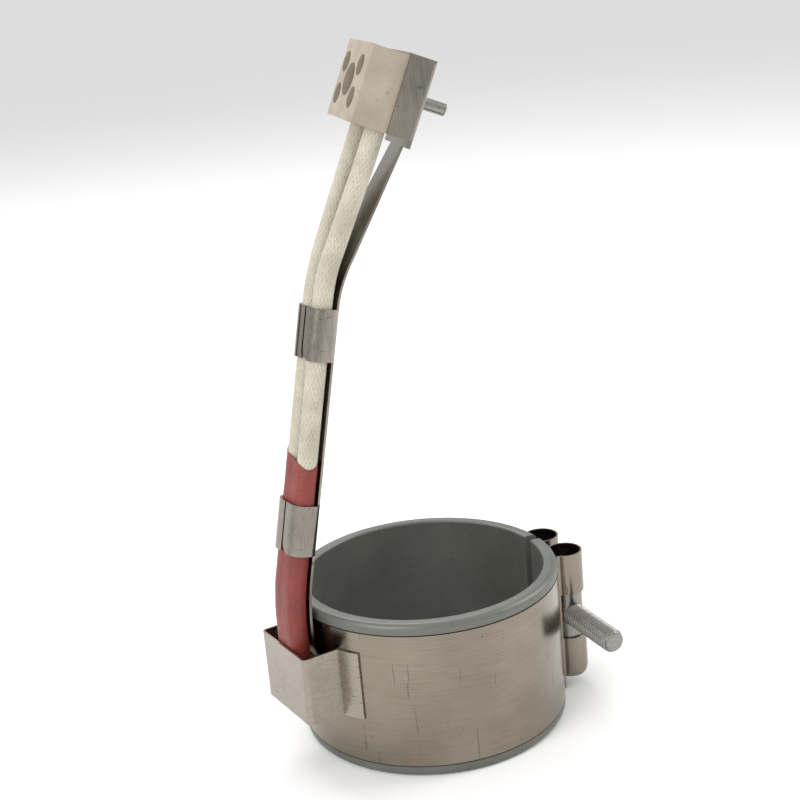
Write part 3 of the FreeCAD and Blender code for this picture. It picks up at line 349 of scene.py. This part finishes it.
def frames_along(path, side):
    """Tangent, side and out vectors at each point, with side kept square to the path."""
    tangent = np.gradient(path, axis=0)
    tangent /= np.linalg.norm(tangent, axis=1)[:, None]
    sides = np.empty_like(path)
    current = np.asarray(side, float)
    for count, along in enumerate(tangent):
        current = current - along * (current @ along)
        current /= np.linalg.norm(current)
        sides[count] = current
    return tangent, sides, np.cross(tangent, sides)


def arc_length(path):
    return np.concatenate([[0.0], np.cumsum(np.linalg.norm(np.diff(path, axis=0), axis=1))])


# %% [markdown]
# Glass braid is two sets of flat yarns, wound left and right and passing over and under each
# other. Real relief is used instead of a picture of it, because the leads are seen against the
# light. Along each yarn the height is a half round, and where two yarns cross, the set on top
# changes like the squares of a chess board.

# %% Braided leads
LEAD_RADIUS = 2.4
LEAD_X = -38.25
YARNS = 16
YARN_RISE = 2.2


def braid_height(angle, distance):
    """0 in the grooves and 1 on the yarns: p and q count the yarns of the two sets."""
    p = YARNS * angle / (2 * np.pi) + distance / YARN_RISE
    q = YARNS * angle / (2 * np.pi) - distance / YARN_RISE
    left, right = np.abs(np.sin(np.pi * p)) ** 0.6, np.abs(np.sin(np.pi * q)) ** 0.6
    over = (np.floor(p) + np.floor(q)) % 2 < 1
    return np.where(over, np.maximum(left, 0.35 * right), np.maximum(0.35 * left, right))


def lead_corners(side):
    """The lead's corners, from inside the cover up to the block, in millimetres in the ring's frame."""
    rise, fan = 42.777, 119.5
    y = side * 2.45
    low = np.array([[LEAD_X, y, 24.0], [LEAD_X, y, rise],
                    [LEAD_X + (fan - rise) * math.tan(LEAN), y, fan]])
    high = tray_points([[-8.3, side * 6.3, -7.0], [-8.3, side * 6.3, 3.3]])
    return turn_z(np.concatenate([low, high]), BEARING)


def make_braid_material():
    """Cream glass yarn with varnish stains, and painted shade in the grooves: darker where the relief is low.
    """
    material, tree, shader = new_material("glass_braid", Sheen_Weight=0.15)
    relief = add(tree, "ShaderNodeAttribute", attribute_name="relief").outputs["Fac"]
    out = use(tree, grain, {"Vector": object_vector(tree), "Scale": 5000.0, "Stain Scale": 140.0})
    stain = remap(tree, out["Stain"], 0.35, 0.65)
    yarn = blend_colour(tree, stain, (0.4, 0.365, 0.29, 1), (0.54, 0.505, 0.415, 1))
    # Painted shade: the colour goes to dark brown where the relief is low, in the grooves between the yarns.
    colour = blend_colour(tree, remap(tree, relief, 0.1, 0.75), (0.28, 0.245, 0.185, 1), yarn)
    join(tree, shader, colour, remap(tree, relief, 0.0, 1.0, 0.85, 0.6), out["Height"], 0.00004)
    return material


glass_braid = make_braid_material()
copper_tin = sheet_metal("tinned_strands", (0.45, 0.43, 0.4, 1), (0.62, 0.6, 0.56, 1), (0.25, 0.4),
                         (3500.0, 3500.0, 300.0), (500.0, 500.0, 500.0))


def tube_rings(path, side, radius, count, begin=0.0):
    """Rings of count points round a path: centre + radius (cos a side + sin a out)."""
    _, sides, outs = frames_along(path, side)
    angle = np.linspace(0, 2 * np.pi, count, endpoint=False) + begin
    radius = np.broadcast_to(radius, (len(path), count))
    ring = np.cos(angle)[None, :, None] * sides[:, None] + np.sin(angle)[None, :, None] * outs[:, None]
    return path[:, None] + radius[..., None] * ring


def closed(rings):
    """The rings with both ends drawn in to a point."""
    first = np.repeat(rings[:1].mean(axis=1, keepdims=True), rings.shape[1], axis=1)
    last = np.repeat(rings[-1:].mean(axis=1, keepdims=True), rings.shape[1], axis=1)
    return np.concatenate([first, rings, last])


def add_lead(name, side):
    """Braid relief over the whole lead, and twisted strands bare out of each end."""
    corners = lead_corners(side)
    path = bent_path(corners, [63.35, 38.0, 27.0], 0.3)
    square = turn_z([[0.0, 1.0, 0.0]], BEARING)[0]
    distance = arc_length(path)[:, None]
    angle = np.linspace(0, 2 * np.pi, 84, endpoint=False)[None]
    height = braid_height(angle, distance)
    rings = tube_rings(path, square, LEAD_RADIUS - 0.16 * (1 - height), 84)
    relief = np.concatenate([height[:1] * 0, height, height[:1] * 0])
    braid = grid_piece(f"{name}_braid", closed(rings) * MM, "heater", glass_braid, attribute=relief)
    ways = ((corners[0], corners[0] - corners[1], 5.6), (corners[-1], corners[-1] - corners[-2], 6.0))
    for count, (root, way, reach) in enumerate(ways):
        way = way / np.linalg.norm(way)
        along = np.linspace(-1.0, reach, 40)
        core = root + along[:, None] * way
        lay = 7 * (angle[:, ::2]) + along[:, None] * 1.9
        radius = 0.8 - 0.09 * (1 - np.abs(np.cos(lay / 2)))
        strands = tube_rings(core, square, radius, 42)
        grid_piece(f"{name}_strands_{count}", closed(strands) * MM, "heater", copper_tin)
    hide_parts(name)
    print(f"{name}: {distance[-1, 0]:.1f} mm of braid")


add_lead("lead_near", -1)
add_lead("lead_far", 1)

# %% [markdown]
# The red sleeve is a glass tube coated with silicone, pulled flat over both leads. Its section is
# the outline of two circles, a little drawn in between them, and it is cut at a slant on top. It is
# one closed surface that goes up outside, over the cut edge and down inside.

# %% Sleeve


def sleeve_profile(angle, radius, dip):
    """Outline of two circles 4.9 apart: the flats between them are drawn in by dip."""
    side, out = np.cos(angle), np.sin(angle)
    middle = np.clip(side * 6.0, -2.45, 2.45)
    valley = dip * np.exp(-(middle / 1.1) ** 2) * np.abs(out)
    return middle + radius * side * np.abs(side) ** 0.15, (radius - valley) * out


def add_sleeve():
    rise, top = 42.777, 82.0
    corners = turn_z([[LEAD_X, 0, 26.6], [LEAD_X, 0, rise], [LEAD_X + (top - rise) * math.tan(LEAN), 0, top]],
                     BEARING)
    path = bent_path(corners, [63.35], 0.5)
    square = turn_z([[0.0, 1.0, 0.0]], BEARING)[0]
    tangent, sides, outs = frames_along(path, square)
    angle = np.linspace(0, 2 * np.pi, 72, endpoint=False)
    distance = arc_length(path)[:, None]
    cut = 77.8 + 0.45 * np.cos(angle)[None] * 5.0
    rows = len(path)

    def wall(radius, dip):
        ripple = 0.02 * np.sin(distance * 0.9 + 2 * angle[None]) + 0.02 * np.sin(distance * 0.37)
        x, y = sleeve_profile(angle[None], radius - 0.02 + ripple - 0.02, dip)
        rings = path[:, None] + x[..., None] * sides[:, None] + y[..., None] * outs[:, None]
        over = np.maximum(rings[..., 2] - cut, 0) / tangent[-1, 2]
        return rings - over[..., None] * tangent[-1]

    outside, inside = wall(2.7, 0.2), wall(2.48, 0.04)
    shell = np.concatenate([inside[:1], outside, inside[::-1]])
    piece = grid_piece("sleeve_skin", shell * MM, "heater", red_silicone)
    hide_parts("lead_sleeve")
    print("sleeve rows:", rows)


def make_silicone():
    """Brick-red coating over a fine weave: the weave shows through as a faint cross pattern."""
    material, tree, shader = new_material("red_silicone", Coat_Weight=0.12, Coat_Roughness=0.3)
    vector = object_vector(tree)
    out = use(tree, grain, {"Vector": vector, "Scale": 2500.0, "Stain Scale": 90.0})
    split = add(tree, "ShaderNodeSeparateXYZ", {0: vector}).outputs
    up = maths(tree, "SINE", maths(tree, "MULTIPLY", split[2], 7500.0))
    across = maths(tree, "SINE", maths(tree, "MULTIPLY", maths(tree, "ADD", split[0], split[1]), 7500.0))
    weave = maths(tree, "MULTIPLY", maths(tree, "MULTIPLY", up, across), 0.5)
    stain = remap(tree, out["Stain"], 0.3, 0.7)
    colour = blend_colour(tree, stain, (0.13, 0.014, 0.01, 1), (0.22, 0.028, 0.018, 1))
    colour = blend_colour(tree, remap(tree, weave, 0.0, 0.5, 0.0, 0.25), colour, (0.26, 0.05, 0.035, 1))
    join(tree, shader, colour, remap(tree, out["Height"], 0.5, 1.0, 0.42, 0.62),
         maths(tree, "ADD", maths(tree, "MULTIPLY", weave, 0.8), out["Height"]), 0.00005)
    return material


red_silicone = make_silicone()
add_sleeve()

# %% [markdown]
# A screw is one closed surface too. Each ring has its own place on the axis and its own radius,
# and the radius may change round the ring: a thread is a wave that moves on by one pitch a turn, and
# a hexagon is a circle whose radius grows towards its six corners.

# %% Clamp screw
SCREW_X, SCREW_Z = 37.23, 20.0
TIP_Y, HEAD_Y = -28.8, 11.2


def thread_depth(angle, along, pitch):
    """A rounded vee: 0 on the crest and 1 in the root, one pitch a turn."""
    phase = along / pitch - angle / (2 * np.pi)
    wave = np.abs(2 * (phase - np.floor(phase)) - 1)
    return np.clip(wave * 1.25 - 0.125, 0, 1)


def hexagon(angle, flats):
    """Radius of a hexagon: half the flats over the cosine of the angle from the nearest flat."""
    return flats / 2 / np.cos((angle + np.pi / 6) % (np.pi / 3) - np.pi / 6)


def add_clamp_screw():
    angle = np.linspace(0, 2 * np.pi, 72, endpoint=False)
    along = np.arange(TIP_Y + 0.1, HEAD_Y - 0.02, 1.0 / 14)
    fade = np.clip((along - TIP_Y) / 0.8, 0, 1)[:, None] * np.clip((HEAD_Y - along) / 1.2, 0, 1)[:, None]
    thread = 2.98 - 0.5 * (1 - fade) * (along[:, None] < 0) - 0.58 * fade * thread_depth(
        angle[None], along[:, None], 1.0)
    knurl = 0.12 * (np.arange(72)[None] % 2)
    side = np.linspace(HEAD_Y + 0.5, HEAD_Y + 5.4, 12)
    head = np.full((len(side), 72), 4.98) - knurl * np.clip(
        np.minimum(side - HEAD_Y - 0.5, HEAD_Y + 5.4 - side), 0, 0.4)[:, None] / 0.4
    ring = np.ones((1, 72))
    hexa = hexagon(angle, 5.0)[None]
    radii = [ring * 0.0, ring * 2.3, thread, ring * 2.98, ring * 4.7, head, ring * 4.85, ring * 4.5,
             hexa + 0.15, hexa, hexa, hexa * 0.0]
    places = [TIP_Y, TIP_Y, along, HEAD_Y, HEAD_Y, side, HEAD_Y + 5.8, HEAD_Y + 5.97, HEAD_Y + 5.97,
              HEAD_Y + 5.85, HEAD_Y + 3.0, HEAD_Y + 3.0]
    radius = np.concatenate(radii)
    place = np.concatenate([np.atleast_1d(part).astype(float) for part in places])
    points = np.stack([SCREW_X + radius * np.cos(angle), np.broadcast_to(place[:, None], radius.shape),
                       SCREW_Z - radius * np.sin(angle)], axis=-1)
    piece = grid_piece("clamp_screw_thread", points * MM, "screw", zinc_plate)
    for face in piece.data.polygons:
        face.use_smooth = True
    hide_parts("clamp_screw")


add_clamp_screw()

# %% [markdown]
# The light is a plain studio: a large soft key from the left and above, a weaker one from the
# right, and a pale sky all round. The floor is pale and runs far beyond the view. The camera stands
# a short way off with a long lens, so the ring's ellipse and the arm's lean keep their proportions.

# %% Floor, light and camera


FLOOR_REACH = 20.0
FLOOR_LEVEL = -0.0001
FLOOR_QUADS = 4
SKY_STRENGTH = 0.8
VIEW_AZIMUTH, VIEW_ELEVATION, VIEW_ROLL = -23.319, 17.43, -5.232
VIEW_PLACE = (-0.142145, -0.324175, 0.195627)
LENS, SENSOR_WIDTH, NEAR_CLIP = 68.4, 36.0, 0.01


def add_floor():
    """A square sheet of quads, far wider than the view."""
    reach = np.linspace(-FLOOR_REACH, FLOOR_REACH, FLOOR_QUADS + 1)
    x, y = np.meshgrid(reach, reach, indexing="ij")
    points = np.stack([y, x, np.full_like(x, FLOOR_LEVEL)], axis=-1)
    mesh = bpy.data.meshes.new("studio_floor")
    i, j = np.meshgrid(np.arange(FLOOR_QUADS), np.arange(FLOOR_QUADS), indexing="ij")
    row = FLOOR_QUADS + 1
    corner = i * row + j
    quads = np.stack([corner, corner + 1, corner + row + 1, corner + row], axis=-1).reshape(-1, 4)
    mesh.from_pydata(points.reshape(-1, 3), [], quads)
    material, tree, shader = new_material("pale_floor", Roughness=0.9)
    out = use(tree, grain, {"Vector": object_vector(tree), "Scale": 60.0, "Stain Scale": 2.0})
    join(tree, shader, blend_colour(tree, out["Stain"], (0.86, 0.86, 0.86, 1), (0.9, 0.9, 0.9, 1)))
    mesh.materials.append(material)
    floor = bpy.data.objects.new("studio_floor", mesh)
    bpy.context.scene.collection.objects.link(floor)


def add_light(name, place, aim, width, height, power, colour=(1, 1, 1)):
    """A soft rectangular lamp at place that points at aim."""
    lamp = bpy.data.lights.new(name, "AREA")
    lamp.shape, lamp.size, lamp.size_y, lamp.energy, lamp.color = "RECTANGLE", width, height, power, colour
    item = bpy.data.objects.new(name, lamp)
    way = np.asarray(aim, float) - np.asarray(place, float)
    item.location = place
    item.rotation_euler = Vector(way).to_track_quat("-Z", "Y").to_euler()
    bpy.context.scene.collection.objects.link(item)


def add_sky():
    """An even white sky all round."""
    world = bpy.data.worlds.new("studio_sky")
    world.use_nodes = True
    world.node_tree.nodes["Background"].inputs[0].default_value = (1.0, 1.0, 1.0, 1)
    world.node_tree.nodes["Background"].inputs[1].default_value = SKY_STRENGTH
    bpy.context.scene.world = world


def add_camera():
    """Look back along the view's azimuth and elevation, rolled, from VIEW_PLACE in metres."""
    azimuth, elevation, roll = map(math.radians, (VIEW_AZIMUTH, VIEW_ELEVATION, VIEW_ROLL))
    back = np.array([math.sin(azimuth) * math.cos(elevation), -math.cos(azimuth) * math.cos(elevation),
                     math.sin(elevation)])
    right = np.cross(-back, [0, 0, 1])
    right /= np.linalg.norm(right)
    up = np.cross(right, -back)
    right, up = (right * math.cos(roll) + up * math.sin(roll), up * math.cos(roll) - right * math.sin(roll))
    lens = bpy.data.cameras.new("view")
    lens.lens, lens.sensor_width, lens.clip_start = LENS, SENSOR_WIDTH, NEAR_CLIP
    camera = bpy.data.objects.new("view", lens)
    turn = Matrix((right, up, back)).transposed()
    camera.matrix_world = Matrix.Translation(VIEW_PLACE) @ turn.to_4x4()
    bpy.context.scene.collection.objects.link(camera)
    bpy.context.scene.camera = camera


add_floor()
add_sky()
add_light("key_left", (-0.75, -0.35, 0.6), (0, 0, 0.07), 0.5, 0.7, 5.5, (1.0, 0.985, 0.96))
add_light("fill_right", (0.7, -0.15, 0.45), (0, 0, 0.03), 0.35, 0.5, 3.0)
add_light("top_back", (0.0, 0.6, 0.8), (0, 0, 0.05), 0.7, 0.4, 4.0)
add_camera()
bpy.context.scene.view_settings.view_transform = "Standard"
